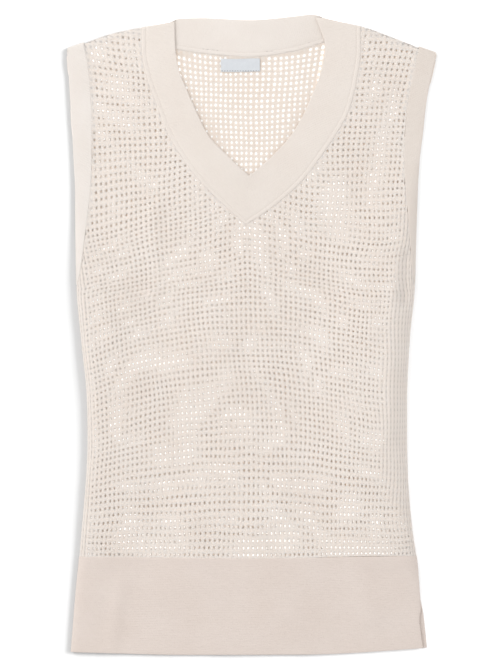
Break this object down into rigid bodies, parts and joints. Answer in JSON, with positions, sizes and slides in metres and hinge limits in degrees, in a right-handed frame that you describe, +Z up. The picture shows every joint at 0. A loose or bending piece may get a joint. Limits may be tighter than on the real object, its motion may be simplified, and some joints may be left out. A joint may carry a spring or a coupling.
{
  "type": "sweater vest",
  "caption": "Sleeveless V-neck knit vest laid flat, front up, with an open eyelet-net body and plain neck, armhole and hem bands",
  "frame": {"origin": "middle of the vest's bounding box, on the surface it lies on", "axes": "+Z up off the surface, out of the front; +Y from the hem towards the neck; +X to the right seen from above, the wearer's left"},
  "size_m": [0.3694, 0.641, 0.0191],
  "materials": {
    "net_knit": "matt cream viscose-cotton yarn, open eyelet net knit",
    "band_knit": "matt cream yarn, fine plain knit",
    "label_satin": "pale grey woven satin, blank"
  },
  "bodies": {
    "root": {"front_panel": "net_knit", "back_panel": "net_knit", "front_hem_band": "band_knit", "back_hem_band": "band_knit", "neck_band_left": "band_knit", "neck_band_right": "band_knit", "neck_band_back": "band_knit", "armhole_band_left": "band_knit", "armhole_band_right": "band_knit", "neck_label": "label_satin"}
  },
  "joints": []
}
